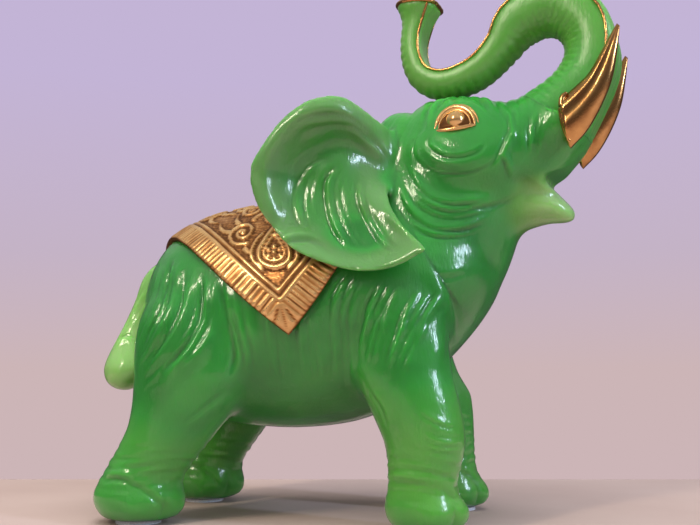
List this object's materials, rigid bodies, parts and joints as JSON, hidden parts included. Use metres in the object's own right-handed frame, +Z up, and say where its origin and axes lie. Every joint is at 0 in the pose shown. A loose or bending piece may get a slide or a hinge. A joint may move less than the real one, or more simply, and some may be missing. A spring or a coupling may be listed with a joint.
{
  "type": "elephant figurine",
  "caption": "Standing elephant figurine in jade-green cast resin, trunk raised in a loop, with a gilt saddle cloth, gilt tusks and eyes, and soft pads under the feet.",
  "frame": {"origin": "on the floor, under the middle of the figurine's bounding box", "axes": "+X from the rump towards the head, +Y to the animal's left, +Z up"},
  "size_m": [0.201, 0.0966, 0.1959],
  "materials": {
    "jade": "polished translucent cast resin, lighter where thin",
    "gilt": "bright gilt",
    "gilt_cloth": "gilt relief with brown patina in the hollows",
    "pad": "matt white",
    "steel": "plain cut rod"
  },
  "bodies": {
    "root": {"body": "jade", "head": "jade", "trunk": "jade", "ear_right": "jade", "ear_left": "jade", "tail": "jade", "saddle_cloth": "gilt_cloth", "tusk_right": "gilt", "tusk_left": "gilt", "eye_right": "gilt", "eye_left": "gilt", "trunk_bead_right": "gilt", "trunk_bead_left": "gilt", "trunk_tip_rim": "gilt", "foot_pad_front_right": "pad", "foot_pad_front_left": "pad", "foot_pad_rear_right": "pad", "foot_pad_rear_left": "pad", "neck_dowel": "steel", "trunk_dowel": "steel"}
  },
  "joints": []
}
